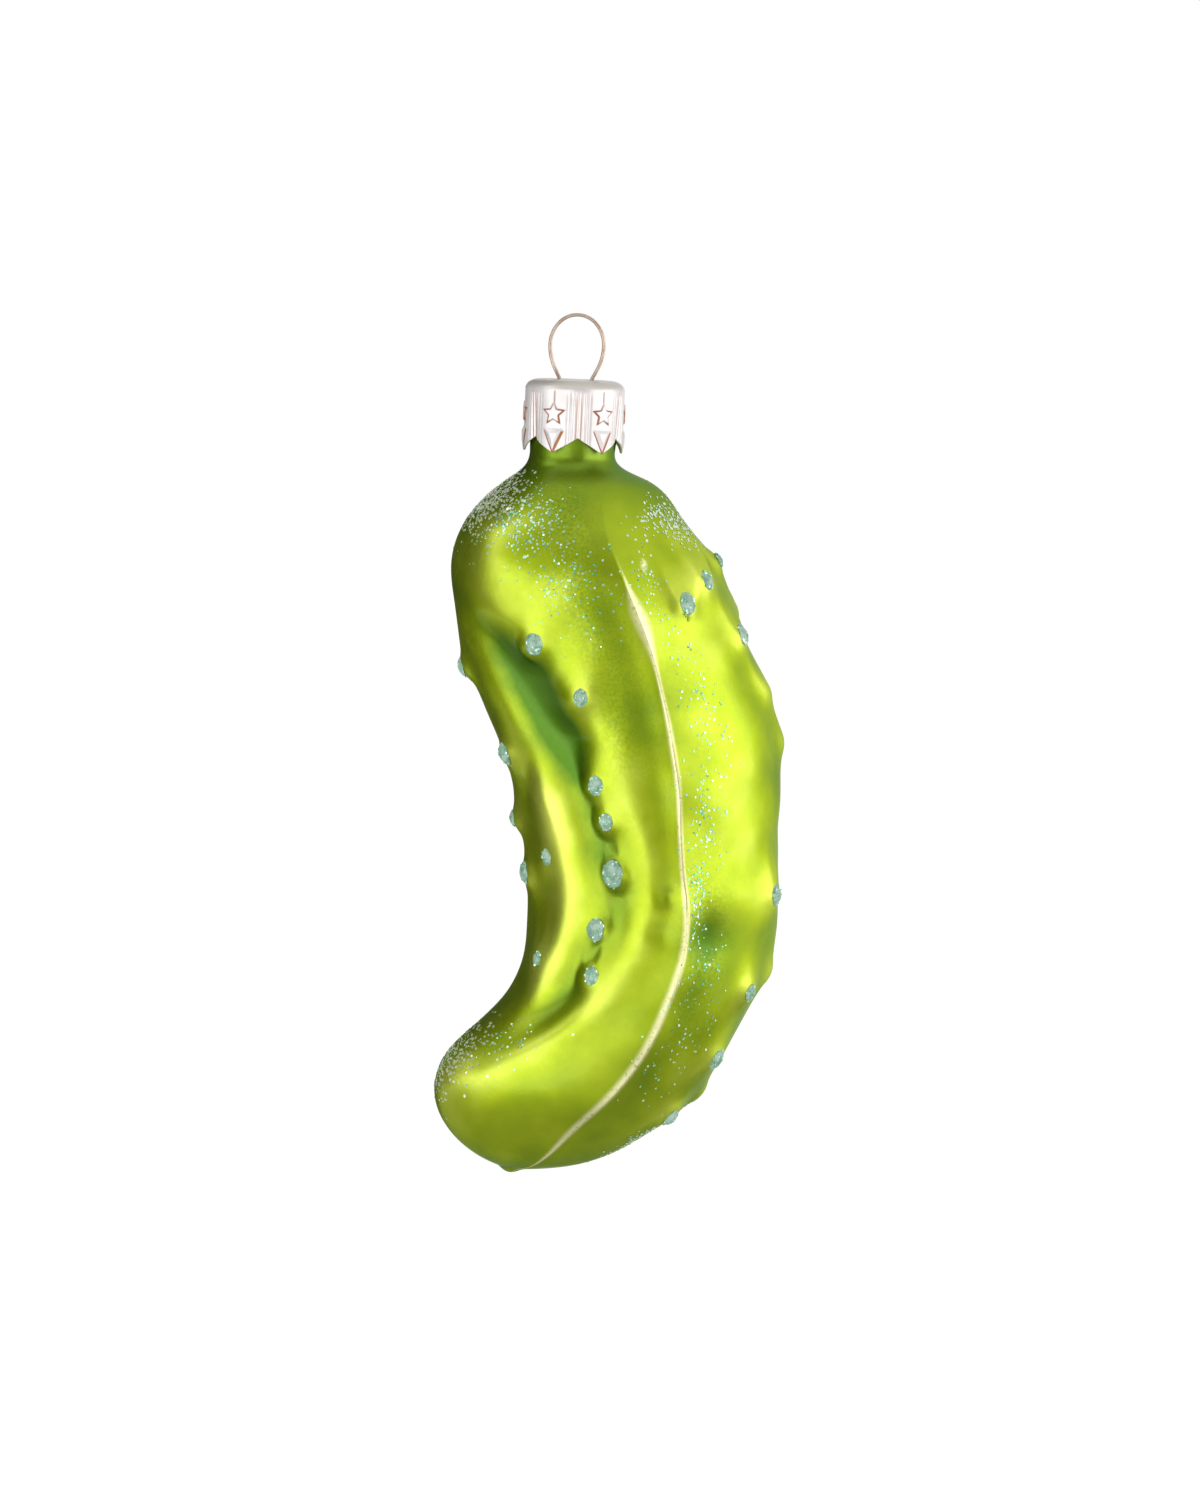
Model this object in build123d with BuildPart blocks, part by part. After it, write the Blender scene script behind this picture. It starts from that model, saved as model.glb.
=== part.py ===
from build123d import *
import os
from math import cos, exp, hypot, pi, radians, sin, sqrt

# Pickle ornament: a mould-blown glass pickle with a stamped cap, a spring-wire hanger and
# dabs of glitter glue on its warts. Millimetres. The origin is the middle of the hanger's eye,
# Z runs up the axis of the neck, +X is the outer side of the bend and -Y is the front.
# Angles round the neck or the pickle count from the front towards +X, in degrees.

# Wire hanger
WIRE_DIAMETER = 0.4
EYE_OUTSIDE_WIDTH = 6.44
EYE_OUTSIDE_RISE = 3.6
EYE_ARC_TURN = 45.0
SHOULDER_RADIUS = 6.0
SHOULDER_TURN = 27.0
WAIST_RADIUS = 0.8
WAIST_DROP = 0.9
LEG_SPLAY = 15.0
FOOT_RADIUS = 1.0
FOOT_TURN = 70.0

# Cap
CAP_DROP = 3.9
CAP_HEIGHT = 8.1
CAP_SHEET = 0.25
CAP_SHOULDER_RADIUS = 1.1
TOOTH_COUNT = 6
TOOTH_DEPTH = 1.7
TOOTH_ANGLE = 36.0
PLEAT_DEPTH = 0.35
PLEAT_SPREAD = 7.0
PLEAT_STEPS = 8
SLOT_WIDTH = 0.7
SLOT_INNER_END = 0.9
SLOT_OUTER_END = 2.1

# Neck of the glass
NECK_DIAMETER = 9.7
NECK_LENGTH = 8.85
NECK_DIP = 1.5
NECK_OVERLAP = 0.2
NECK_SEAM_ANGLE = 14.0
GLASS_WALL = 0.8
LIP_ROUND = 0.3

# Clearances between the glass, the cap, the wire and the dabs
CAP_SEAT_GAP = 0.05
CAP_NECK_GAP = 0.15
LEG_GAP = 0.12
DAB_GAP = 0.03

# Pickle sections below the neck, read off the front view. Each row is where the section meets
# the inner side of the bend (x, drop below the neck foot) and the outer side (x, drop),
# its half depth from front to back, and the angle of the mould seam.
PICKLE_SECTIONS = [
    (-7.2, 2.3, 8.9, 2.0, 7.4, 14),
    (-11.0, 5.8, 12.6, 5.8, 10.3, 14),
    (-13.15, 11.0, 16.4, 11.0, 12.7, 15),
    (-12.2, 19.0, 20.2, 19.0, 13.8, 18),
    (-8.9, 28.0, 23.9, 28.0, 13.9, 15),
    (-5.4, 36.0, 25.15, 36.0, 13.6, 13),
    (-3.6, 44.0, 25.2, 44.0, 13.2, 13),
    (-3.0, 52.0, 25.25, 52.0, 12.7, 15),
    (-4.8, 60.0, 23.0, 60.0, 12.3, 16),
    (-9.7, 65.3, 19.8, 66.6, 12.3, 20),
    (-12.3, 69.4, 16.3, 71.6, 11.8, 19),
    (-12.3, 73.4, 12.4, 75.2, 10.2, 15),
    (-10.4, 76.7, 8.0, 78.0, 7.9, 13),
    (-7.2, 79.1, 3.0, 79.7, 4.7, 10),
]
TIP_X = -3.6
TIP_DROP = 80.5
NUB_RADIUS = 1.5
NUB_DROP = 80.78

# Seam crest and groove that the two mould halves leave along the pickle. The groove's angle
# counts from the seam that each half starts at.
SEAM_RISE = 0.05
SEAM_SPREAD = 16.0
GROOVE_DEPTH = 0.9
GROOVE_ANGLE = 137.0
GROOVE_SPREAD = 18.0
GROOVE_START = 13.0
GROOVE_END = 68.0
HALF_STEPS = 9

# Warts and their glitter dabs: drop below the neck foot, angle, and length of the dab.
# The first 21 show from the front, and the rest are behind.
WART_RADIUS = 3.0
WART_HEIGHT = 0.8
DAB_THICKNESS = 0.45
DAB_EDGE = 0.12
DAB_SLENDERNESS = 0.78
DABBED_WARTS = [
    (20.0, -32, 2.9),
    (25.7, -18, 2.3),
    (35.5, -23, 2.6),
    (39.5, -20, 2.2),
    (44.0, -54, 3.2),
    (45.4, -19, 3.5),
    (51.8, -29, 3.0),
    (55.8, -58, 2.0),
    (57.1, -24, 2.4),
    (15.1, 45, 2.8),
    (12.7, 62, 2.6),
    (18.8, 75, 2.8),
    (47.6, 70, 2.8),
    (58.4, 64, 2.2),
    (66.1, 68, 2.9),
    (32.8, -71, 3.0),
    (40.4, -86, 2.2),
    (46.3, -75, 2.8),
    (23.5, -88, 2.6),
    (10.8, 87, 2.0),
    (72.8, 69, 2.6),
    (14.0, 150, 2.6),
    (22.0, 205, 2.9),
    (26.0, 125, 2.4),
    (33.0, 165, 2.8),
    (38.0, 232, 2.3),
    (43.0, 140, 3.0),
    (49.0, 200, 2.6),
    (55.0, 158, 2.8),
    (61.0, 222, 2.4),
    (67.0, 152, 2.6),
]
BARE_WARTS = [
    (16.1, 100),
    (24.8, 84),
    (30.4, 90),
    (56.5, 90),
    (71.0, 95),
]

# Levels and radii that follow from the sizes above
wire_radius = WIRE_DIAMETER / 2
cap_top_z = -CAP_DROP
skirt_top_z = cap_top_z - CAP_SHOULDER_RADIUS
cap_bottom_z = cap_top_z - CAP_HEIGHT
lip_z = cap_top_z - CAP_SHEET - CAP_SEAT_GAP
foot_z = lip_z - NECK_LENGTH
neck_radius = NECK_DIAMETER / 2
bore_radius = neck_radius - GLASS_WALL
cap_radius = neck_radius + CAP_NECK_GAP + PLEAT_DEPTH + CAP_SHEET
tooth_pitch = 360 / TOOTH_COUNT

os.makedirs("parts", exist_ok=True)


def neck_section(radius):
    """Round section at the neck foot, set a little inside the wall so that the forms join."""
    reach = radius - NECK_OVERLAP
    return (-reach, 0, reach, 0, reach, NECK_SEAM_ANGLE)


def hollow_section(before, here, after):
    """Section of the hollow: each side of the outline moved in by the wall along its normal."""
    moved = []
    for side, sign in ((0, 1), (2, -1)):
        run_x = after[side] - before[side]
        run_drop = after[side + 1] - before[side + 1]
        length = hypot(run_x, run_drop)
        moved.append(here[side] + sign * GLASS_WALL * run_drop / length)
        moved.append(here[side + 1] - sign * GLASS_WALL * run_x / length)
    run_drop = (after[1] + after[3] - before[1] - before[3]) / 2
    steepness = run_drop / hypot(after[4] - before[4], run_drop)
    return (*moved, here[4] - GLASS_WALL * steepness, here[5])


skin_sections = [neck_section(neck_radius)] + PICKLE_SECTIONS
tip_section = (TIP_X, TIP_DROP, TIP_X, TIP_DROP, 0, 0)
neighbours = zip(skin_sections, PICKLE_SECTIONS, PICKLE_SECTIONS[1:] + [tip_section])
hollow_sections = [neck_section(bore_radius)] + [hollow_section(*rows) for rows in neighbours]


def section_ring(section):
    """Closed ring of points for one section, in its own plane, starting at the front seam.

    The ring is an ellipse with a crest at both seams and a groove in each half.
    """
    left_x, left_drop, right_x, right_drop, half_depth, seam_angle = section
    half_width = hypot(right_x - left_x, right_drop - left_drop) / 2
    along = ((left_drop + right_drop) / 2 - GROOVE_START) / (GROOVE_END - GROOVE_START)
    groove = GROOVE_DEPTH * sin(pi * along) if 0 < along < 1 else 0
    ring = []
    for half in (0, 1):
        for step in range(HALF_STEPS):
            turn = 90 * (1 - cos(pi * step / HALF_STEPS))
            angle = radians(seam_angle + turn + 180 * half)
            x = half_width * sin(angle)
            y = -half_depth * cos(angle)
            crest = SEAM_RISE * exp(-min(turn, 180 - turn) / SEAM_SPREAD)
            sunk = groove * exp(-(((turn - GROOVE_ANGLE) / GROOVE_SPREAD) ** 2))
            scale = 1 + crest - sunk / hypot(x, y)
            ring.append((x * scale, y * scale))
    return ring


def section_plane(section):
    """Plane of one section: its x runs across the bend and its y runs to the back."""
    left_x, left_drop, right_x, right_drop, half_depth, seam_angle = section
    middle = ((left_x + right_x) / 2, 0, foot_z - (left_drop + right_drop) / 2)
    across = (right_x - left_x, 0, left_drop - right_drop)
    return Plane(origin=middle, x_dir=across, z_dir=(right_drop - left_drop, 0, right_x - left_x))


def section_face(section):
    """Face of one section, bounded by the two mould halves."""
    ring = section_ring(section)
    with BuildSketch(section_plane(section)) as face:
        with BuildLine():
            Spline(*ring[:HALF_STEPS + 1])
            Spline(*ring[HALF_STEPS:], ring[0])
        make_face()
    return face.sketch


# Outside form of the pickle, lofted through its sections to the tip
with BuildPart() as skin:
    tip = Vertex(TIP_X, 0, foot_z - TIP_DROP)
    loft([section_face(section) for section in skin_sections] + [tip])

# Hollow of the glass, one wall inside the skin
with BuildPart() as hollow:
    hollow_tip = Vertex(TIP_X, 0, foot_z - TIP_DROP + GLASS_WALL)
    loft([section_face(section) for section in hollow_sections] + [hollow_tip])


def middle_of_bend(drop):
    """X of the middle of the pickle at one drop below the neck foot."""
    for upper, lower in zip(skin_sections, PICKLE_SECTIONS):
        upper_drop = (upper[1] + upper[3]) / 2
        lower_drop = (lower[1] + lower[3]) / 2
        if drop <= lower_drop:
            share = (drop - upper_drop) / (lower_drop - upper_drop)
            upper_x = (upper[0] + upper[2]) / 2
            lower_x = (lower[0] + lower[2]) / 2
            return upper_x + share * (lower_x - upper_x)
    return TIP_X


def wart_plane(drop, angle):
    """Plane on top of one wart, above where a level line from the middle leaves the skin."""
    start = Vector(middle_of_bend(drop), 0, foot_z - drop)
    outward = Vector(sin(radians(angle)), -cos(radians(angle)), 0)
    hits = skin.part.find_intersection_points(Axis(start, outward))
    point, normal = max(hits, key=lambda hit: (hit[0] - start).dot(outward))
    if normal.dot(outward) < 0:
        normal = -normal
    down = Vector(0, 0, -1)
    return Plane(
        origin=point + normal * WART_HEIGHT,
        x_dir=down - normal * down.dot(normal),
        z_dir=normal,
    )


dab_planes = [wart_plane(drop, angle) for drop, angle, length in DABBED_WARTS]
bare_planes = [wart_plane(drop, angle) for drop, angle in BARE_WARTS]

# Glass pickle: skin, neck, warts and end nub in one body, hollow through to the lip
with BuildPart() as glass_pickle:
    add(skin.part)
    with BuildSketch(Plane.XY.offset(lip_z)):
        Circle(neck_radius)
    extrude(amount=-NECK_LENGTH - NECK_DIP)
    with Locations(*[plane.offset(-WART_RADIUS).location for plane in dab_planes + bare_planes]):
        Sphere(WART_RADIUS)
    with Locations((TIP_X, 0, foot_z - NUB_DROP + NUB_RADIUS)):
        Sphere(NUB_RADIUS)
    add(hollow.part, mode=Mode.SUBTRACT)
    with BuildSketch(Plane.XY.offset(lip_z)):
        Circle(bore_radius)
    extrude(amount=-NECK_LENGTH - NECK_DIP, mode=Mode.SUBTRACT)
    fillet(glass_pickle.faces().sort_by(Axis.Z)[-1].edges(), radius=LIP_ROUND)

glass_pickle.part.label = "glass_pickle"
export_step(glass_pickle.part, "parts/glass_pickle.step")

# Glitter dabs: an oval pool of glue on each wart, domed on top and hollowed to fit the wart
for number, (plane, wart) in enumerate(zip(dab_planes, DABBED_WARTS), start=1):
    half_length = wart[2] / 2
    seat_radius = WART_RADIUS + DAB_GAP
    seat_fall = seat_radius - sqrt(seat_radius ** 2 - half_length ** 2)
    dome_fall = seat_fall + DAB_THICKNESS - DAB_EDGE
    dome_radius = (half_length ** 2 + dome_fall ** 2) / (2 * dome_fall)
    with BuildPart() as glitter_dab:
        with BuildSketch(plane):
            Ellipse(half_length, half_length * DAB_SLENDERNESS)
        extrude(amount=DAB_THICKNESS + seat_fall, both=True)
        with Locations(plane.offset(DAB_THICKNESS - dome_radius).location):
            Sphere(dome_radius, mode=Mode.INTERSECT)
        with Locations(plane.offset(-WART_RADIUS).location):
            Sphere(seat_radius, mode=Mode.SUBTRACT)
    glitter_dab.part.label = f"glitter_dab_{number:02d}"
    export_step(glitter_dab.part, f"parts/glitter_dab_{number:02d}.step")


def skirt_point(radius, pleat_depth, turn):
    """Point of the skirt at one turn from a pleat: a circle that each pleat draws in."""
    from_pleat = min(turn % tooth_pitch, -turn % tooth_pitch)
    reach = radius - pleat_depth * exp(-((from_pleat / PLEAT_SPREAD) ** 2))
    angle = radians(turn + TOOTH_ANGLE + tooth_pitch / 2)
    return (reach * sin(angle), -reach * cos(angle))


def skirt_face(radius, level, pleat_depth):
    """Face across the skirt at one level, with one curve from pleat to pleat for each tooth."""
    with BuildSketch(Plane.XY.offset(level)) as face:
        with BuildLine():
            for tooth in range(TOOTH_COUNT):
                turns = [(tooth + step / PLEAT_STEPS) * tooth_pitch for step in range(PLEAT_STEPS + 1)]
                points = [skirt_point(radius, pleat_depth, turn) for turn in turns]
                if pleat_depth:
                    Spline(*points)
                else:
                    ThreePointArc(points[0], points[PLEAT_STEPS // 2], points[-1])
        make_face()
    return face.sketch


def skirt_faces(radius):
    """Faces for the skirt's outer or inner form: round at the shoulder, pleated at the teeth."""
    return [skirt_face(radius, skirt_top_z, 0), skirt_face(radius, cap_bottom_z, PLEAT_DEPTH)]


def crown_face(radius, top_z):
    """Half profile of the crown's outer or inner form: a flat top with a rounded shoulder."""
    shoulder_radius = top_z - skirt_top_z
    with BuildSketch(Plane.XZ) as face:
        with BuildLine():
            Polyline((radius, skirt_top_z), (0, skirt_top_z), (0, top_z), (radius - shoulder_radius, top_z))
            RadiusArc((radius - shoulder_radius, top_z), (radius, skirt_top_z), shoulder_radius)
        make_face()
    return face.sketch


# Notch between two teeth, as a wedge that points to the front
with BuildPart() as notch:
    with BuildSketch(Plane.XZ):
        with BuildLine():
            half_gap = cap_radius * sin(radians(tooth_pitch / 2))
            valley = (0, cap_bottom_z + TOOTH_DEPTH)
            Polyline(valley, (half_gap, cap_bottom_z), (-half_gap, cap_bottom_z), close=True)
        make_face()
    extrude(amount=2 * cap_radius)

# Cap: a cup pressed from thin sheet, with pleats, pointed teeth and two slots for the wire
with BuildPart() as cap:
    loft(skirt_faces(cap_radius), ruled=True)
    revolve(crown_face(cap_radius, cap_top_z), axis=Axis.Z)
    loft(skirt_faces(cap_radius - CAP_SHEET), ruled=True, mode=Mode.SUBTRACT)
    revolve(crown_face(cap_radius - CAP_SHEET, cap_top_z - CAP_SHEET), axis=Axis.Z, mode=Mode.SUBTRACT)
    with PolarLocations(0, TOOTH_COUNT, start_angle=TOOTH_ANGLE + tooth_pitch / 2):
        add(notch.part, mode=Mode.SUBTRACT)
    with BuildSketch(Plane.XY.offset(cap_top_z)):
        slot_middle = (SLOT_INNER_END + SLOT_OUTER_END) / 2
        with Locations((slot_middle, 0), (-slot_middle, 0)):
            SlotOverall(SLOT_OUTER_END - SLOT_INNER_END, SLOT_WIDTH)
    extrude(amount=-CAP_SHEET, mode=Mode.SUBTRACT)

cap.part.label = "cap"
export_step(cap.part, "parts/cap.step")

# Wire hanger: half of it is bent from the top of the eye down to a foot, then mirrored
eye_half_width = EYE_OUTSIDE_WIDTH / 2 - wire_radius
eye_rise = EYE_OUTSIDE_RISE - wire_radius
turn_sine = sin(radians(EYE_ARC_TURN))
turn_rest = 1 - cos(radians(EYE_ARC_TURN))
spread = turn_sine ** 2 - turn_rest ** 2
crown_radius = (turn_sine * eye_half_width - turn_rest * eye_rise) / spread
side_radius = (turn_sine * eye_rise - turn_rest * eye_half_width) / spread
leg_reach = bore_radius - LEG_GAP - wire_radius
with BuildPart() as wire_hanger:
    with BuildLine(Plane.XZ) as bend_line:
        crown = JernArc((0, eye_rise), (1, 0), crown_radius, -EYE_ARC_TURN)
        side = JernArc(crown @ 1, crown % 1, side_radius, EYE_ARC_TURN - 90)
        shoulder = JernArc(side @ 1, side % 1, SHOULDER_RADIUS, -SHOULDER_TURN)
        fall = (shoulder @ 1).Z - cap_top_z + WAIST_DROP
        run_in = Line(shoulder @ 1, shoulder @ 1 + shoulder % 1 * (fall / cos(radians(SHOULDER_TURN))))
        waist = JernArc(run_in @ 1, run_in % 1, WAIST_RADIUS, SHOULDER_TURN + LEG_SPLAY)
        foot_swing = FOOT_RADIUS * (1 - cos(radians(LEG_SPLAY)))
        leg_length = (leg_reach - foot_swing - (waist @ 1).X) / sin(radians(LEG_SPLAY))
        leg = Line(waist @ 1, waist @ 1 + waist % 1 * leg_length)
        JernArc(leg @ 1, leg % 1, FOOT_RADIUS, -FOOT_TURN)
    with BuildSketch(Plane(origin=crown @ 0, z_dir=crown % 0)):
        Circle(wire_radius)
    sweep()
    mirror(about=Plane.YZ)

wire_hanger.part.label = "wire_hanger"
export_step(wire_hanger.part, "parts/wire_hanger.step")
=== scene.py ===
from math import cos, pi, radians, sin

import bmesh
import bpy
import numpy as np
from mathutils import Matrix, Vector


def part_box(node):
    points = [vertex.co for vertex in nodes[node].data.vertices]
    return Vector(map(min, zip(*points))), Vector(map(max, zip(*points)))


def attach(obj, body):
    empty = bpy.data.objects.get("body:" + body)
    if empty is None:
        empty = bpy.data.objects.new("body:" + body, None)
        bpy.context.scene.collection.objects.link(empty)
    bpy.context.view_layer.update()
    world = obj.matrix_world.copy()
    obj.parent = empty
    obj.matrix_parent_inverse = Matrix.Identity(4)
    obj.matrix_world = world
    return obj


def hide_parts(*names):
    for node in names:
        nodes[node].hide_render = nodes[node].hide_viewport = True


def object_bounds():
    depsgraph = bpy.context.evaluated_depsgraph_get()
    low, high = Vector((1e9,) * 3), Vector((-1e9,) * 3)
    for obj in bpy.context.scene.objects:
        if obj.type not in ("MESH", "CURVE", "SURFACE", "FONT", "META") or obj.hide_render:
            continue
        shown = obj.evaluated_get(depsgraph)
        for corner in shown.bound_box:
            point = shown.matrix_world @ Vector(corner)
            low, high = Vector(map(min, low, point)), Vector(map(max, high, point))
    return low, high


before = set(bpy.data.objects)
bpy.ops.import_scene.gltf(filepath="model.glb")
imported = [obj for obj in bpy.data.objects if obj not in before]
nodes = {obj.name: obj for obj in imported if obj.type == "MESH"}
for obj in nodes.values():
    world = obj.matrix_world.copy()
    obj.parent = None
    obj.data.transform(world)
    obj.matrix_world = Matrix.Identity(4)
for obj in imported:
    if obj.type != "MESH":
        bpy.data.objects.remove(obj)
cad_low, cad_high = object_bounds()

# Glass pickle
# A tube of glass blown in a two-part mould, silvered inside and sprayed with satin green lacquer.
# The parting line of the mould stands up as a crest down the front and the back.

MM = 0.001
NECK_RADIUS = 4.85
NECK_LENGTH = 8.85
GLASS_WALL = 0.8
lip_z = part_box("glass_pickle")[1].z / MM
foot_z = lip_z - NECK_LENGTH
lip_radius = GLASS_WALL / 2

# Each row is where a section meets the inner side of the bend (x, drop below the neck foot) and
# the outer side (x, drop), its half depth, and the angle of the mould seam.
NECK_DROPS = (lip_radius - NECK_LENGTH, -5.0, -2.0, -0.4)
PICKLE_SECTIONS = [
    (-7.2, 2.3, 8.9, 2.0, 7.4, 14),
    (-11.0, 5.8, 12.6, 5.8, 10.3, 14),
    (-13.15, 11.0, 16.4, 11.0, 12.7, 15),
    (-12.2, 19.0, 20.2, 19.0, 13.8, 18),
    (-8.9, 28.0, 23.9, 28.0, 13.9, 15),
    (-5.4, 36.0, 25.15, 36.0, 13.6, 13),
    (-3.6, 44.0, 25.2, 44.0, 13.2, 13),
    (-3.0, 52.0, 25.25, 52.0, 12.7, 15),
    (-4.8, 60.0, 23.0, 60.0, 12.3, 16),
    (-9.7, 65.3, 19.8, 66.6, 12.1, 20),
    (-12.3, 69.4, 16.3, 71.6, 11.4, 19),
    (-12.3, 73.4, 12.4, 75.2, 9.9, 15),
    (-10.4, 76.7, 8.0, 78.0, 7.7, 13),
    (-7.2, 79.1, 3.0, 79.7, 4.7, 10),
    (-3.6, 80.5, -3.6, 80.5, 0.0, 10),
]
neck_rows = [(-NECK_RADIUS, drop, NECK_RADIUS, drop, NECK_RADIUS, 14) for drop in NECK_DROPS]
section_rows = np.array(neck_rows + PICKLE_SECTIONS)
steps = np.diff(section_rows, axis=0)
section_run = np.cumsum(np.hypot(steps[:, 0], steps[:, 1]) + np.hypot(steps[:, 2], steps[:, 3])) / 2
section_run = np.concatenate([[0], section_run])

# Ribs and hollows of the mould, the same in both halves. Each has stops (drop, turn from the seam
# that its half starts at), its rise and its spread in degrees.
MOULD_LINES = [
    ([(12, 92), (17, 103), (20, 112), (24, 120), (28, 126), (35, 138), (40, 144), (46, 149),
      (51, 144), (57, 134), (62, 127), (68, 118)], -1.2, 13),
    ([(16, 88), (20, 94), (27, 108), (35, 119), (44, 125)], 0.3, 11),
    ([(32, 115), (44, 125), (50, 124), (57, 117), (64, 106)], 0.9, 11),
    ([(18, 124), (23, 131), (28, 139), (34, 147)], -0.5, 9),
    ([(26, 151), (31, 155), (39, 158), (44, 163), (50, 159), (59, 148), (63, 141), (67, 130),
      (71, 118)], 0.5, 11),
    ([(57, 148), (61, 143), (65, 135), (69, 121), (73, 102)], 0.22, 15),
    ([(11, 171), (30, 172), (46, 172), (58, 170)], -0.2, 6),
    ([(46, 9), (55, 10), (74, 11)], -0.35, 7),
    ([(12, 44), (19, 37), (27, 26), (41, 27), (54, 38), (62, 42)], 0.2, 16),
    ([(5, 116), (10, 117), (15, 116), (20, 114)], 0.4, 17),
]
# Dents: drop, turn from the seam, depth and radius
DENTS = [
    (47.7, 173, 0.3, 1.1), (51.6, 168, 0.25, 1.4), (16.6, 21, 0.3, 0.5), (38.0, 100, 0.2, 1.6),
    (52.6, 14, 0.35, 3.2), (52.8, 29, 0.32, 3.6), (53.4, 44, 0.28, 3.8), (70.6, 98, -1.1, 4.0),
]
SEAM_RISE = 0.05
SEAM_SPREAD = 16.0
KEEL_RISE = 0.07
KEEL_SPREAD = 24.0


def smooth_through(knots, rows, at):
    """Natural cubic curve through rows of values.

    Its bend is zero at both ends, and its slope and bend run on without a step at every knot.
    """
    gap = np.diff(knots)
    system = np.eye(len(knots))
    target = np.zeros_like(rows)
    inner = np.arange(1, len(knots) - 1)
    system[inner, inner - 1] = gap[:-1]
    system[inner, inner] = 2 * (gap[:-1] + gap[1:])
    system[inner, inner + 1] = gap[1:]
    target[1:-1] = 6 * np.diff(np.diff(rows, axis=0) / gap[:, None], axis=0)
    bend = np.linalg.solve(system, target)
    at = np.clip(at, knots[0], knots[-1])
    span = np.clip(np.searchsorted(knots, at, side="right") - 1, 0, len(knots) - 2)
    width = gap[span][..., None]
    before = (at - knots[span])[..., None]
    after = width - before
    bent = (bend[span] * after ** 3 + bend[span + 1] * before ** 3) / (6 * width)
    first = (rows[span] / width - bend[span] * width / 6) * after
    return bent + first + (rows[span + 1] / width - bend[span + 1] * width / 6) * before


def step_up(value, low, high):
    """Zero below low, one above high, and an S curve between them."""
    share = np.clip((value - low) / (high - low), 0, 1)
    return share * share * (3 - 2 * share)


def mould_relief(drop, turn, radius):
    """Rise of the skin from the mould's ribs, hollows and dents.

    A rib follows its line down the pickle. Across the line its rise is a bell curve, and along
    the line it fades in and out. A dent is a round bell curve.
    """
    rise = np.zeros(np.broadcast(drop, turn).shape)
    for stops, height, spread in MOULD_LINES:
        stops = np.array(stops, float)
        middle = smooth_through(stops[:, 0], stops[:, 1:], drop)[..., 0]
        share = np.clip((drop - stops[0, 0]) / (stops[-1, 0] - stops[0, 0]), 0, 1)
        fade = step_up(share, 0, 0.2) * (1 - step_up(share, 0.75, 1))
        rise += height * fade * np.exp(-(((turn - middle) / spread) ** 2))
    for dent_drop, dent_turn, depth, size in DENTS:
        away = np.hypot(drop - dent_drop, np.radians(turn - dent_turn) * radius)
        rise -= depth * np.exp(-((away / size) ** 2))
    return rise


# Blown glass never fills its mould evenly: many low waves, each with its turns round the pickle,
# its turns per millimetre of drop and its start.
UNEVEN_DEPTH = 0.16
wave_rng = np.random.default_rng(7)
WAVES = 28
wave_round = wave_rng.integers(-9, 10, WAVES)
wave_down = wave_rng.uniform(0.2, 0.95, WAVES)
wave_start = wave_rng.uniform(0, 2 * pi, WAVES)


def unevenness(drop, turn):
    """Depth of the uneven skin: the sum of the waves, from nothing at its tops down."""
    phase = np.radians(turn)[..., None] * wave_round + drop[..., None] * wave_down + wave_start
    waves = np.cos(phase).sum(-1) / WAVES ** 0.5
    return UNEVEN_DEPTH * np.clip((waves - 2.0) / 2, -2, 0) * step_up(drop, 0, 6)


def pickle_skin(run, turn):
    """Points of the skin without its warts, its rise, and its drop, in millimetres.

    A section is an ellipse from one outline of the bend to the other. Its radius grows to a crest
    at both seams, which is a broader keel below, and takes the rise of the mould's ribs and the
    dips of the uneven skin.
    """
    row = smooth_through(section_run, section_rows, run)
    left_x, left_drop, right_x, right_drop, half_depth, seam = np.moveaxis(row, -1, 0)
    angle = np.radians(seam + turn)
    half_width = np.hypot(right_x - left_x, right_drop - left_drop) / 2
    radius = np.hypot(half_width * np.sin(angle), half_depth * np.cos(angle)) + 1e-6
    drop = (left_drop + right_drop) / 2 + 0 * turn
    half_turn = turn % 180
    rise = mould_relief(drop, half_turn, radius) + unevenness(drop, 0 * drop + turn)
    from_seam = np.minimum(half_turn, 180 - half_turn)
    crest = SEAM_RISE * np.exp(-from_seam / SEAM_SPREAD) * (0.2 + 0.8 * step_up(drop, -1, 5))
    keel_share = step_up(drop, 40, 54) * (1 - step_up(drop, 70, 79))
    crest = crest + KEEL_RISE * np.exp(-from_seam / KEEL_SPREAD) * keel_share
    scale = 1 + crest + rise / radius
    across = np.sin(angle) * scale
    x = (left_x + right_x) / 2 + across * (right_x - left_x) / 2
    fall = drop + across * (right_drop - left_drop) / 2
    return np.stack([x, -half_depth * np.cos(angle) * scale, foot_z - fall], -1), rise, drop


def skin_normals(run, turn):
    """Outward direction of the skin: the cross product of its slopes along and around."""
    down = pickle_skin(run + 0.05, turn)[0] - pickle_skin(run - 0.05, turn)[0]
    around = pickle_skin(run, turn + 0.2)[0] - pickle_skin(run, turn - 0.2)[0]
    normal = np.cross(down, around)
    return normal / (np.linalg.norm(normal, axis=-1, keepdims=True) + 1e-12)


# Warts stand where their glitter dabs sit, and a few more are bare (drop, angle from the front).
WART_RADIUS = 3.0
WART_HEIGHT = 0.8
DAB_GAP = 0.03
BARE_WARTS = [(16.1, 100), (24.8, 84), (30.4, 90), (56.5, 90), (71.0, 95)]
NUB_X = -3.6
NUB_DROP = 80.78
NUB_RADIUS = 1.5
NUB_CENTRE = (NUB_X, 0, foot_z - NUB_DROP + NUB_RADIUS)
KNUCKLE_RISE = 0.72
KNUCKLE_FLAT = 2.2
KNUCKLE_WIDTH = 2.1
KNUCKLE_ABOVE = 4.2
KNUCKLE_BELOW = 2.6
KNUCKLE_REACH = 12
WART_BLEND = 0.3
NUB_BLEND = 0.4


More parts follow.
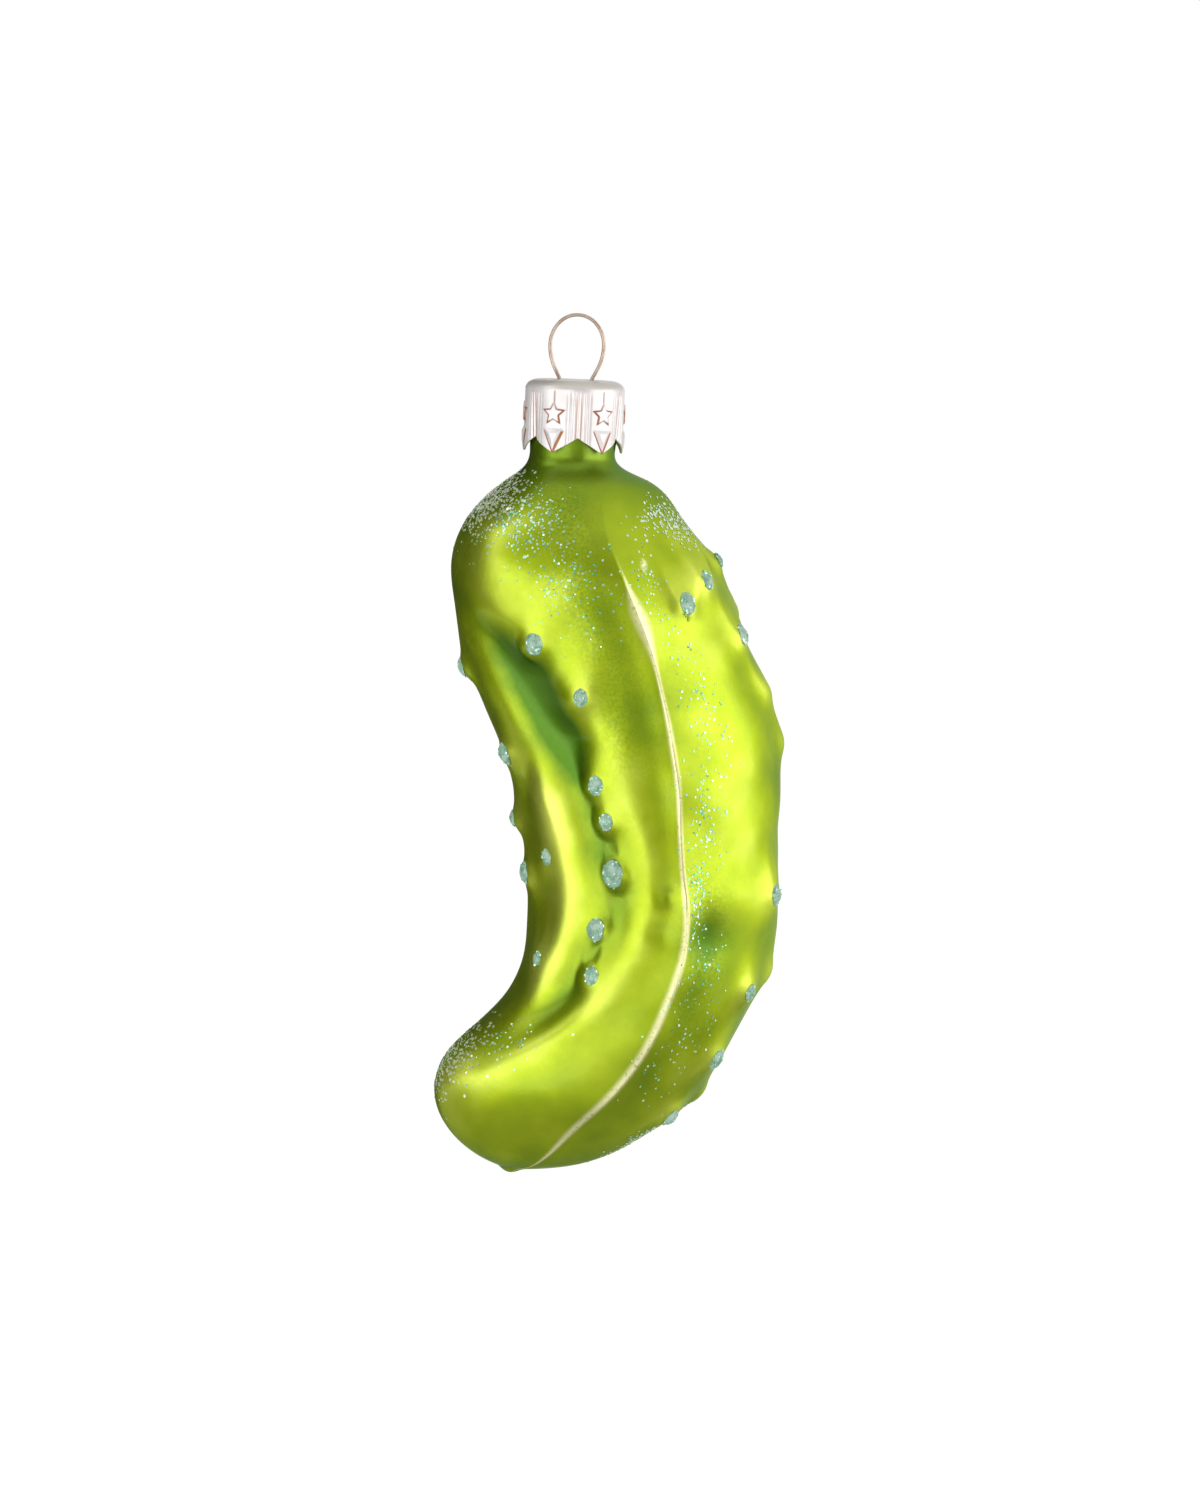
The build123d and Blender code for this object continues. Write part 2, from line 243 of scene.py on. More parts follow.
def node_frame(name):
    """Middle and axes of a dab: the axes along which its surface reaches most, less and least."""
    mesh = nodes[name].data
    mesh.calc_loop_triangles()
    corners = np.empty(len(mesh.vertices) * 3)
    mesh.vertices.foreach_get("co", corners)
    corners = corners.reshape(-1, 3) / MM
    triangles = np.empty(len(mesh.loop_triangles) * 3, int)
    mesh.loop_triangles.foreach_get("vertices", triangles)
    faces = corners[triangles.reshape(-1, 3)]
    area = np.linalg.norm(np.cross(faces[:, 1] - faces[:, 0], faces[:, 2] - faces[:, 0]), axis=1)
    centres = faces.mean(1)
    middle = np.average(centres, axis=0, weights=area)
    spread = np.cov((centres - middle).T, aweights=area)
    short_to_long = np.linalg.eigh(spread)[1].T
    return middle, short_to_long, corners


def dab_seat(name):
    """Centre of the wart under a dab, the dab's outward, long and short axes, and its half length.

    The lowest corner of the dab lies on the round seat, at the end of the long axis.
    """
    middle, (outward, short, long), corners = node_frame(name)
    if outward @ (middle - (middle[0], 0, middle[2])) < 0 and abs(middle[1]) > 1:
        outward = -outward
    heights = (corners - middle) @ outward
    reach = np.linalg.norm(corners - middle - heights[:, None] * outward, axis=1)
    if heights[reach > 0.9 * reach.max()].mean() > 0:
        outward, heights = -outward, -heights
    half_length = np.abs((corners - middle) @ long).max()
    seat = heights.min() - np.sqrt((WART_RADIUS + DAB_GAP) ** 2 - half_length ** 2)
    return middle + seat * outward, outward, long, np.cross(outward, long), half_length


def soft_max(first, second, blend):
    """The larger of two heights, with a round fillet where they are within blend of each other."""
    near = np.clip(blend - np.abs(first - second), 0, None)
    return np.maximum(first, second) + near ** 2 / (4 * blend)


def wart_height(points, normals, centre, radius):
    """How far along its normal each point must go to lie on a ball, or well below zero."""
    away = points - centre
    lean = (away * normals).sum(-1)
    inside = lean ** 2 - (away ** 2).sum(-1) + radius ** 2
    near = (away ** 2).sum(-1) < (radius + 1.5) ** 2
    return np.where((inside > 0) & near, np.sqrt(np.clip(inside, 0, None)) - lean, -9.0)


COLUMNS = 320
ROWS = 262
half_share = np.arange(COLUMNS // 2) / (COLUMNS // 2)
half_turn = 180 * (half_share - 0.7 * np.sin(2 * pi * half_share) / (2 * pi))
turn = np.concatenate([half_turn, half_turn + 180])[None, :]
run = (np.linspace(0, 1, ROWS)[:-1] * section_run[-1])[:, None]
skin, rise, drop = pickle_skin(run, turn)
normal = skin_normals(run, turn)

dab_names = sorted(name for name in nodes if name.startswith("glitter_dab_"))
seats = {name: dab_seat(name) for name in dab_names}
fall = foot_z - skin[..., 2]
middle_x = np.interp(fall, section_rows[:, [1, 3]].mean(1), section_rows[:, [0, 2]].mean(1))
front_angle = np.degrees(np.arctan2(skin[..., 0] - middle_x, -skin[..., 1]))
wart_centres = [seats[name][0] for name in dab_names]
for wart_fall, wart_angle in BARE_WARTS:
    off = np.hypot(fall - wart_fall, (front_angle - wart_angle) * 0.2)
    spot = np.unravel_index(np.argmin(off), off.shape)
    wart_centres.append(skin[spot] + normal[spot] * (WART_HEIGHT - WART_RADIUS))

# A soft knuckle runs up the pickle from each wart, and the wart itself is part of a ball.
height = np.zeros(drop.shape)
for centre in wart_centres:
    away = skin - centre
    up = away[..., 2]
    aside = np.sqrt(np.clip((away ** 2).sum(-1) - up ** 2 - KNUCKLE_FLAT ** 2, 0, None))
    near = np.linalg.norm(away, axis=-1) < KNUCKLE_REACH
    ramp = np.exp(-((up / np.where(up > 0, KNUCKLE_ABOVE, KNUCKLE_BELOW)) ** 2))
    height += near * KNUCKLE_RISE * ramp * np.exp(-((aside / KNUCKLE_WIDTH) ** 2))
for centre in wart_centres:
    height = soft_max(height, wart_height(skin, normal, centre, WART_RADIUS), WART_BLEND)
nub_height = wart_height(skin, normal, np.array(NUB_CENTRE), NUB_RADIUS)
height = soft_max(height, nub_height, NUB_BLEND)
skin_out = skin + normal * height[..., None]

# The wall turns over at the lip and goes down inside the hollow.
inner_rows = np.r_[ROWS - 6:2:-8, 0]
inside = (skin - GLASS_WALL * normal)[inner_rows]
lip_turn = np.linspace(0, pi, 7)[1:-1, None]
lip_reach = NECK_RADIUS - lip_radius - lip_radius * np.cos(lip_turn)
lip_angle = np.radians(turn + section_rows[0, 5])
lip = np.stack([
    lip_reach * np.sin(lip_angle),
    -lip_reach * np.cos(lip_angle),
    lip_z - lip_radius + lip_radius * np.sin(lip_turn) + 0 * lip_angle,
], -1)


def ring_faces(count, columns, pointed):
    """Faces that join rings in order, with fans to the two points after them at pointed ends."""
    at = np.arange(count * columns).reshape(count, columns)
    beside = np.roll(at, -1, axis=1)
    faces = np.stack([at[:-1], at[1:], beside[1:], beside[:-1]], -1).reshape(-1, 4).tolist()
    if pointed:
        pole = np.full(columns, count * columns)
        faces += np.stack([pole, at[0], beside[0]], -1).tolist()
        faces += np.stack([at[-1], pole + 1, beside[-1]], -1).tolist()
    return faces


def ring_mesh(name, rings, *ends):
    """Mesh of closed rings joined in order, open or drawn to the two points given for its ends."""
    count, columns = rings.shape[:2]
    points = np.vstack([rings.reshape(-1, 3), *ends])
    mesh = bpy.data.meshes.new(name)
    mesh.from_pydata((points * MM).tolist(), [], ring_faces(count, columns, bool(ends)))
    mesh.shade_smooth()
    return mesh


def give_attribute(mesh, name, values, kind="FLOAT"):
    """Stores one value, or one colour, for each point of a mesh."""
    layer = mesh.attributes.new(name, kind, "POINT")
    layer.data.foreach_set("value" if kind == "FLOAT" else "color", np.ravel(values))


def place(name, mesh, body, slot, *materials):
    """Adds a finished mesh to the scene, riding on a body, with its materials. The finish slot is
    not used.
    """
    piece = bpy.data.objects.new(name, mesh)
    bpy.context.scene.collection.objects.link(piece)
    for material in materials:
        mesh.materials.append(material)
    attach(piece, body)
    return piece


tip = np.array([(NUB_X, 0, foot_z - NUB_DROP)])
inner_tip = inside[:1].mean(1)
pickle_rings = np.concatenate([inside, lip, skin_out])
pickle_mesh = ring_mesh("blown_glass", pickle_rings, inner_tip, tip)
first_outer = len(inside) + len(lip)


def outer_values(values, elsewhere):
    """One value for each point of the pickle's mesh, with a plain value off the outer skin."""
    plain = np.full((first_outer, COLUMNS), float(elsewhere))
    return np.concatenate([plain.ravel(), values.ravel(), [elsewhere, values[-1].mean()]])


# Wear along the seam: stops of drop, half width of the worn strip, and its shift from the crest.
SEAM_WEAR = np.array([
    (9, 0.02, 0.2), (13, 0.2, 0.25), (16.5, 0.75, 0.15), (20, 0.42, 0.05), (28, 0.27, 0.0),
    (40, 0.27, 0.0), (50, 0.34, -0.1), (58, 0.42, -0.25), (66, 0.42, -0.3), (75, 0.34, -0.2),
    (80, 0.1, 0.0),
])
side = (turn + 90) % 180 - 90
seam_offset = np.radians(side) * np.hypot(skin[..., 0] - middle_x, skin[..., 1])
wear = smooth_through(SEAM_WEAR[:, 0], SEAM_WEAR[:, 1:], drop)
from_wear = np.abs(seam_offset - wear[..., 1]) / np.clip(wear[..., 0], 0.02, None)
worn = (1 - step_up(from_wear, 0.1, 1.6)) * step_up(drop, 9, 14)
# A small chip in the lacquer beside the seam
CHIP_X = 8.5
CHIP_FALL = 10.9
CHIP_HALF_WIDTH = 0.28
CHIP_HALF_HEIGHT = 0.6
chip_across = (skin[..., 0] - CHIP_X) / CHIP_HALF_WIDTH
from_chip = np.hypot(chip_across, (fall - CHIP_FALL) / CHIP_HALF_HEIGHT)
worn = np.maximum(worn, (1 - step_up(from_chip, 0.6, 1.4)) * (skin[..., 1] < 0))
# A thin brown line down the middle of the worn strip
line = np.exp(-(((seam_offset - 0.1 - wear[..., 1]) / 0.09) ** 2))
line = line * step_up(drop, 19, 24) * (1 - step_up(drop, 50, 58))
# Painted shade: dark mottled bands beside the seam, one to its left above and one to its right
# below
upper = np.exp(-(((seam_offset + 3.6) / 2.6) ** 2))
upper = upper * step_up(drop, 0, 6) * (1 - step_up(drop, 27, 38))
lower = np.exp(-(((seam_offset - 2.8) / 2.4) ** 2))
lower = lower * step_up(drop, 44, 50) * (1 - step_up(drop, 58, 68))
give_attribute(pickle_mesh, "rise", outer_values(rise + 0.8 * height, 0))
give_attribute(pickle_mesh, "worn", outer_values(worn, 0))
give_attribute(pickle_mesh, "line", outer_values(line, 0))
give_attribute(pickle_mesh, "stain", outer_values(upper + lower, 0))
give_attribute(pickle_mesh, "drop", outer_values(drop, lip_radius - NECK_LENGTH))


def put(tree, kind, inputs=None, **settings):
    """Adds a shader node. An input that is a socket is linked, and any other is set."""
    made = tree.nodes.new(kind)
    for name, value in settings.items():
        setattr(made, name, value)
    for name, value in (inputs or {}).items():
        if isinstance(value, bpy.types.NodeSocket):
            tree.links.new(value, made.inputs[name])
        else:
            made.inputs[name].default_value = value
    return made


def reckon(tree, operation, first, second, limit=False):
    """Result of a Math node on two values or sockets."""
    inputs = {0: first, 1: second}
    made = put(tree, "ShaderNodeMath", inputs, operation=operation, use_clamp=limit)
    return made.outputs[0]


def tint(tree, share, first, second):
    """Colour that goes from the first to the second as share goes from zero to one."""
    inputs = {0: share, 6: first, 7: second}
    return put(tree, "ShaderNodeMix", inputs, data_type="RGBA").outputs[2]


def between(tree, value, low, high, first=0.0, last=1.0):
    """Value moved from one range to another, and held at its ends."""
    inputs = {"Value": value, "From Min": low, "From Max": high, "To Min": first, "To Max": last}
    return put(tree, "ShaderNodeMapRange", inputs).outputs[0]


def attribute(tree, name, output="Fac"):
    """Value that a mesh carries at each point."""
    return put(tree, "ShaderNodeAttribute", attribute_name=name).outputs[output]


def new_material(name):
    """A new material, its node tree and its shader."""
    material = bpy.data.materials.new(name)
    material.use_nodes = True
    return material, material.node_tree, material.node_tree.nodes["Principled BSDF"]


def set_shader(tree, shader, **inputs):
    """Sets or links sockets of the shader, named with low lines for spaces."""
    for name, value in inputs.items():
        socket = shader.inputs[name.replace("_", " ")]
        if isinstance(value, bpy.types.NodeSocket):
            tree.links.new(value, socket)
        else:
            socket.default_value = value


# Grain: cloudy patches and fine speckle over a surface, used by the lacquer, the metal and the glue
grain = bpy.data.node_groups.new("Surface grain", "ShaderNodeTree")
grain.interface.new_socket("Cloud size", in_out="INPUT", socket_type="NodeSocketFloat")
grain.interface.new_socket("Speckle size", in_out="INPUT", socket_type="NodeSocketFloat")
grain.interface.new_socket("Clouds", in_out="OUTPUT", socket_type="NodeSocketFloat")
grain.interface.new_socket("Speckle", in_out="OUTPUT", socket_type="NodeSocketFloat")
grain_in = put(grain, "NodeGroupInput")
grain_out = put(grain, "NodeGroupOutput")
grain_place = put(grain, "ShaderNodeTexCoord").outputs["Object"]
for result in ("Cloud", "Speckle"):
    often = reckon(grain, "DIVIDE", 1.0, grain_in.outputs[result + " size"])
    noise = put(grain, "ShaderNodeTexNoise", {"Vector": grain_place, "Scale": often, "Detail": 4.0})
    grain.links.new(noise.outputs["Fac"], grain_out.inputs[{"Cloud": "Clouds"}.get(result, result)])


def add_grain(tree, cloud_mm, speckle_mm):
    """Places the grain in a material, with its two sizes in millimetres."""
    sizes = {"Cloud size": cloud_mm * MM, "Speckle size": speckle_mm * MM}
    made = put(tree, "ShaderNodeGroup", node_tree=grain)
    for name, value in sizes.items():
        made.inputs[name].default_value = value
    return made.outputs["Clouds"], made.outputs["Speckle"]


lacquer, tree, shader = new_material("Satin green lacquer")
clouds, speckle = add_grain(tree, 6.0, 0.35)
# The colour follows the relief: lacquer lies thicker and darker in the hollows and thinner and
# paler on the ridges, and the ramp also paints shade into the hollows and highlights onto the
# ridges. Random clouds shift it.
level = reckon(tree, "ADD", attribute(tree, "rise"), between(tree, clouds, 0.3, 0.7, -0.25, 0.25))
ramp = put(tree, "ShaderNodeValToRGB", {"Fac": between(tree, level, -1.1, 1.0)})
ramp.color_ramp.elements[0].color = (0.07, 0.18, 0.004, 1)
ramp.color_ramp.elements[1].color = (0.77, 0.86, 0.13, 1)
middle_stop = ramp.color_ramp.elements.new(0.5)
middle_stop.color = (0.395, 0.51, 0.011, 1)
mottle = between(tree, speckle, 0.35, 0.65)
# Painted shade in the bands beside the seam: mottled darker green, and a little rougher there.
stain = reckon(tree, "MULTIPLY", attribute(tree, "stain"), mottle, True)
stain_share = reckon(tree, "MULTIPLY", stain, 0.55)
green = tint(tree, stain_share, ramp.outputs["Color"], (0.12, 0.24, 0.01, 1))
worn_speckle = between(tree, speckle, 0.2, 0.45)
worn_share = reckon(tree, "MULTIPLY", attribute(tree, "worn"), worn_speckle, True)
green = tint(tree, worn_share, green, (0.93, 0.90, 0.48, 1))
line_breaks = between(tree, clouds, 0.3, 0.6)
line_share = reckon(tree, "MULTIPLY", attribute(tree, "line"), line_breaks, True)
green = tint(tree, reckon(tree, "MULTIPLY", line_share, 0.8), green, (0.36, 0.25, 0.10, 1))
# Painted shade over the neck and the top of the shoulders, under the cap, fading out below.
thick_neck = between(tree, attribute(tree, "drop"), 1.0, 7.0, 0.7, 0.0)
green = tint(tree, thick_neck, green, (0.06, 0.16, 0.005, 1))
bare_neck = between(tree, attribute(tree, "drop"), -4.5, -5.5)
green = tint(tree, bare_neck, green, (0.80, 0.80, 0.78, 1))
satin = between(tree, speckle, 0.3, 0.7, 0.35, 0.43)
roughness = reckon(tree, "ADD", satin, reckon(tree, "MULTIPLY", stain, 0.12))
bump = put(tree, "ShaderNodeBump", {"Height": speckle, "Strength": 0.25, "Distance": 0.00005})
set_shader(tree, shader, Base_Color=green, Roughness=roughness, Metallic=0.9,
           Normal=bump.outputs["Normal"], Specular_Tint=(0.25, 0.40, 0.05, 1),
           Coat_Weight=0.13, Coat_Roughness=0.16, Coat_IOR=1.9)

silvering, tree, shader = new_material("Silvering inside the glass")
clouds, speckle = add_grain(tree, 4.0, 0.5)
silver = tint(tree, between(tree, clouds, 0.35, 0.65), (0.74, 0.73, 0.70, 1), (0.86, 0.86, 0.85, 1))
silver_gloss = between(tree, speckle, 0.3, 0.7, 0.12, 0.25)
set_shader(tree, shader, Base_Color=silver, Roughness=silver_gloss, Metallic=1.0)

pickle = place("blown_glass_pickle", pickle_mesh, "glass", "lacquered_glass", lacquer, silvering)
inner_faces = np.zeros(len(pickle_mesh.polygons), int)
inner_faces[:(len(inside) - 1) * COLUMNS] = 1
inner_faces[(len(pickle_rings) - 1) * COLUMNS:len(pickle_rings) * COLUMNS] = 1
pickle_mesh.polygons.foreach_set("material_index", inner_faces)
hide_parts("glass_pickle")

# Glitter dabs
# Pools of clear glue with glitter flakes in it, brushed onto the warts. Each dries as a low dome
# that fits its wart, with flakes lying at all angles in its surface.

DAB_THICKNESS = 0.42
DAB_SLENDERNESS = 0.78
DAB_FLAKES = 34
SEAT_RADIUS = WART_RADIUS + DAB_GAP * 0.5
DOME_TOP = 0.9
FLAKE_LEVEL = 0.82
FLAKE_LEAN = 0.5
FLAKE_SLIMNESS = 0.7
FLAKE_THICKNESS = 0.03
FLAKE_PALENESS = 0.2
FLAKE_TINTS = np.array([
    (0.12, 0.66, 0.38), (0.28, 0.84, 0.50), (0.74, 0.94, 0.76), (0.20, 0.70, 0.50),
    (0.40, 0.88, 0.56), (0.10, 0.46, 0.24),
])
CREAM_FLAKE = np.array([0.97, 0.94, 0.76])
rng = np.random.default_rng(31)


def flake_points(middles, faces_to, lengths, slimness, thickness):
    """Corners of six-sided flakes: one hexagon above another, spun about the way each faces."""
    spin = rng.uniform(0, 2 * pi, len(middles))
    helper = np.where(np.abs(faces_to[:, 2:]) < 0.9, (0, 0, 1), (1, 0, 0))
    first = np.cross(faces_to, helper)
    first /= np.linalg.norm(first, axis=1, keepdims=True)
    second = np.cross(faces_to, first)
    long = first * np.cos(spin)[:, None] + second * np.sin(spin)[:, None]
    short = np.cross(faces_to, long)
    corner = np.arange(6) * pi / 3
    along = np.cos(corner)[None, :, None] * long[:, None] * lengths[:, None, None] / 2
    aside = np.sin(corner)[None, :, None] * short[:, None] * (lengths * slimness)[:, None, None] / 2
    flat = middles[:, None] + along + aside
    lift = faces_to[:, None] * thickness / 2
    return np.concatenate([flat + lift, flat - lift], axis=1)


def flake_faces(count, first):
    """Faces of the flakes: a hexagon on top, a hexagon below and six sides each."""
    base = first + 12 * np.arange(count)[:, None]
    ring = np.arange(6)
    top = base + ring
    under = base + 6 + ring[::-1]
    after = (ring + 1) % 6
    sides = base[:, :, None] + np.stack([ring + 6, after + 6, after, ring], -1)[None]
    return top.tolist() + under.tolist() + sides.reshape(-1, 4).tolist()


def tilted(directions, most):
    """Directions leaned by a random amount, up to the given share of their length."""
    lean = directions + most * rng.uniform(-1, 1, directions.shape)
    return lean / np.linalg.norm(lean, axis=1, keepdims=True)


def flake_tints(count, pale):
    """Random tints of the flakes, drawn toward cream by the share pale."""
    tints = FLAKE_TINTS[rng.integers(0, len(FLAKE_TINTS), count)]
    share = np.clip(pale + rng.uniform(-0.2, 0.2, count), 0, 1)[:, None]
    tints = tints + (CREAM_FLAKE - tints) * share
    return np.concatenate([tints, np.ones((count, 1))], axis=1)


glue, tree, shader = new_material("Dried glitter glue")
clouds, speckle = add_grain(tree, 0.8, 0.2)
cloudy = between(tree, clouds, 0.35, 0.65)
glue_tint = tint(tree, cloudy, (0.20, 0.40, 0.28, 1), (0.52, 0.70, 0.58, 1))
glue_gloss = between(tree, speckle, 0.3, 0.7, 0.25, 0.5)
bump = put(tree, "ShaderNodeBump", {"Height": speckle, "Strength": 0.5, "Distance": 0.0001})
set_shader(tree, shader, Base_Color=glue_tint, Roughness=glue_gloss,
           Normal=bump.outputs["Normal"], Coat_Weight=0.2, Coat_Roughness=0.15)

flake, tree, shader = new_material("Glitter flake")
speckle = add_grain(tree, 1.0, 0.25)[1]
own_tint = attribute(tree, "flake_tint", "Color")
flake_tint = tint(tree, between(tree, speckle, 0.35, 0.65, 0, 0.1), own_tint, (0.9, 1, 0.95, 1))
flake_gloss = between(tree, speckle, 0.3, 0.7, 0.18, 0.32)
set_shader(tree, shader, Base_Color=flake_tint, Roughness=flake_gloss, Metallic=0.5)


def glue_dome(seat, out, round_angle, lift):
    """Points over a wart: the round seat, raised by a low dome that rolls to its edge.

    Out goes from zero at the top of the dome to one at its edge, and lift is its share of the
    full thickness.
    """
    centre, outward, long, short, half_length = seat
    reach_long = half_length * out * np.cos(round_angle)
    reach_short = half_length * DAB_SLENDERNESS * out * np.sin(round_angle)
    level = np.sqrt(SEAT_RADIUS ** 2 - reach_long ** 2 - reach_short ** 2)
    raised = level + lift * DAB_THICKNESS * (1 - np.clip(out, 0, 1) ** 2.6)
    parts = zip((reach_long, reach_short, raised), (long, short, outward))
    return centre + sum(part[..., None] * axis for part, axis in parts)


round_angle = np.linspace(0, 2 * pi, 40, endpoint=False)[None, :]
out = np.linspace(0.08, 1, 12)[:, None]
pole = np.zeros((1, 1))
for name in dab_names:
    seat = seats[name]
    edge_wave = np.sin(3 * round_angle + rng.uniform(0, 6)) * np.cos(2 * round_angle)
    wobble = 1 - 0.05 * (1 + edge_wave)
    lumps = DOME_TOP + 0.06 * np.sin(5 * round_angle + rng.uniform(0, 6)) * out
    lumps = lumps + 0.04 * np.cos(9 * out + round_angle)
    over = glue_dome(seat, out * wobble, round_angle, lumps)
    under = glue_dome(seat, out[::-1][1:] * wobble, round_angle, 0)
    top = glue_dome(seat, pole, pole, DOME_TOP)[0]
    bottom = glue_dome(seat, pole, pole, 0)[0]
    rings = np.concatenate([over, under])
    flake_out = np.sqrt(rng.uniform(0, 0.8, DAB_FLAKES))
    flake_angle = rng.uniform(0, 2 * pi, DAB_FLAKES)
    flake_at = glue_dome(seat, flake_out, flake_angle, FLAKE_LEVEL)
    flake_to = flake_at - seat[0]
    flake_long = rng.uniform(0.28, 0.46, DAB_FLAKES)
    flake_to = tilted(flake_to / np.linalg.norm(flake_to, axis=1, keepdims=True), FLAKE_LEAN)
    corners = flake_points(flake_at, flake_to, flake_long, FLAKE_SLIMNESS, FLAKE_THICKNESS)
    dome_points = np.vstack([rings.reshape(-1, 3), top, bottom])
    dome_faces = ring_faces(*rings.shape[:2], True)
    all_points = np.concatenate([dome_points, corners.reshape(-1, 3)]) * MM
    all_faces = dome_faces + flake_faces(DAB_FLAKES, len(dome_points))
    dab_mesh = bpy.data.meshes.new(name + "_glue")
    dab_mesh.from_pydata(all_points.tolist(), [], all_faces)
    is_flake = np.arange(len(dab_mesh.polygons)) >= len(dome_faces)
    dab_mesh.polygons.foreach_set("material_index", is_flake.astype(int))
    dab_mesh.polygons.foreach_set("use_smooth", ~is_flake)
    tints = flake_tints(DAB_FLAKES, np.full(DAB_FLAKES, FLAKE_PALENESS))
    tints = np.concatenate([np.ones((len(dome_points), 4)), np.repeat(tints, 12, axis=0)])
    give_attribute(dab_mesh, "flake_tint", tints, "FLOAT_COLOR")
    dab = place(name + "_glue", dab_mesh, "glass", "glitter_glue", glue, flake)
    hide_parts(name)

# Glitter dust
# Loose flakes that were sifted onto the wet lacquer. They lie flat on the skin, thick and white
# on the shoulders and the lower bulb, and thin along the seam.

# Patches: drop, angle from the front, spread of each, how many flakes and how pale they are
DUST_PATCHES = [
    (4.4, -76, 2.3, 24, 800, 0.75),
    (6.5, -34, 2.6, 20, 330, 0.3),
    (12.5, -10, 4.0, 17, 190, 0.1),
    (6.0, 64, 1.7, 17, 260, 0.6),
    (11.5, 30, 3.5, 6, 60, 0.2),
    (25.5, 37, 6.0, 8, 110, 0.15),
    (39.0, 27, 5.0, 8, 120, 0.15),
    (47.5, 21, 4.0, 4, 100, 0.05),
    (57.0, 29, 6.0, 9, 70, 0.1),
    (67.5, -78, 3.0, 15, 380, 0.7),
    (65.0, -50, 2.0, 12, 60, 0.4),
    (75.5, 80, 2.0, 11, 190, 0.6),
    (65.0, 42, 5.0, 9, 60, 0.2),
    (5.0, 130, 2.4, 32, 330, 0.6),
    (5.0, -140, 2.4, 34, 330, 0.6),
    (30.0, 200, 13.0, 14, 220, 0.15),
    (67.0, -115, 3.0, 18, 220, 0.6),
]
DUST_THICKNESS = 0.03
DUST_LEAN = 0.16
DUST_SLIMNESS = 0.95

cell = np.linalg.norm(np.roll(skin_out, -1, 1) - skin_out, axis=-1)
picked_rows, picked_columns, pale = [], [], []
for patch_fall, patch_angle, fall_spread, angle_spread, count, paleness in DUST_PATCHES:
    turned = (front_angle - patch_angle + 180) % 360 - 180
    likely = np.exp(-((fall - patch_fall) / fall_spread) ** 2 - (turned / angle_spread) ** 2)
    likely = likely * cell * (fall > 1.0)
    likely[-3:] = 0
    picked = rng.choice(likely.size, count, p=(likely / likely.sum()).ravel())
    picked_rows.append(picked // COLUMNS)
    picked_columns.append(picked % COLUMNS)
    pale.append(np.full(count, paleness))
picked_rows = np.concatenate(picked_rows)
picked_columns = np.concatenate(picked_columns)
pale = np.concatenate(pale)
down_share = rng.uniform(0, 1, len(pale))[:, None]
side_share = rng.uniform(0, 1, len(pale))[:, None]
here = skin_out[picked_rows, picked_columns]
down = skin_out[np.minimum(picked_rows + 1, len(skin_out) - 1), picked_columns] - here
aside = skin_out[picked_rows, (picked_columns + 1) % COLUMNS] - here
lies_on = np.cross(down, aside)
lies_on /= np.linalg.norm(lies_on, axis=1, keepdims=True)
flake_middles = here + down * down_share + aside * side_share + lies_on * DUST_THICKNESS
flake_sizes = rng.uniform(0.12, 0.3, len(pale)) * (1 + 0.5 * pale)
lies_on = tilted(lies_on, DUST_LEAN)
corners = flake_points(flake_middles, lies_on, flake_sizes, DUST_SLIMNESS, DUST_THICKNESS)
dust_mesh = bpy.data.meshes.new("glitter_dust")
dust_mesh.from_pydata((corners.reshape(-1, 3) * MM).tolist(), [], flake_faces(len(pale), 0))
tints = np.repeat(flake_tints(len(pale), pale), 12, axis=0)
give_attribute(dust_mesh, "flake_tint", tints, "FLOAT_COLOR")
place("glitter_dust", dust_mesh, "glass", "glitter_glue", flake)

# Cap
# A cup pressed from thin silvered sheet. Its skirt is pleated and cut into six points, and each
# point carries a raised star over a folded dart. Two slots in the top take the legs of the wire.

CAP_RADIUS = 5.6
CAP_SHEET = 0.25
CAP_SHOULDER = 1.1
CAP_ROUND = 1.6
TOOTH_COUNT = 6
TOOTH_ANGLE = 36.0
TOOTH_DEPTH = 1.7
PLEAT_DEPTH = 0.35
PLEAT_SPREAD = 7.0
SLOT_WIDTH = 0.7
SLOT_INNER_END = 0.9
SLOT_OUTER_END = 2.1
STAR_REACH = 1.3
STAR_WAIST = 0.62
STAR_RISE = 0.16
STAR_FALL = 3.75
DART_WIDTH = 2.5
DART_HEIGHT = 2.7
DART_RISE = 0.22
SKIRT_ROWS = 84
CROWN_ROWS = 9
CHORD_POINTS = 59
OFF_THE_MARKS = 9.0
cap_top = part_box("cap")[1].z / MM
cap_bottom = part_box("cap")[0].z / MM
tooth_pitch = 360 / TOOTH_COUNT
cap_columns = 70 * TOOTH_COUNT


def star_edge(x, y, reach, waist):
    """Distance outside a five-point star, and below zero inside it.

    The star is folded onto one half of one point, whose edge is a straight line.
    """
    angle = np.abs((np.arctan2(x, y) + pi / 5) % (2 * pi / 5) - pi / 5)
    away = np.hypot(x, y)
    point = np.array([reach, 0.0])
    edge = waist * np.array([cos(pi / 5), sin(pi / 5)]) - point
    square = np.array([edge[1], -edge[0]]) / np.hypot(*edge)
    off_point = (away * np.cos(angle) - point[0], away * np.sin(angle) - point[1])
    return off_point[0] * square[0] + off_point[1] * square[1]


def dart_edge(x, y, width, height):
    """Distance outside a triangle that points down from its level top edge, below zero inside."""
    slope = np.hypot(height, width / 2)
    flank = (np.abs(x) * height - (y + height) * width / 2) / slope
    return np.maximum(flank, y)


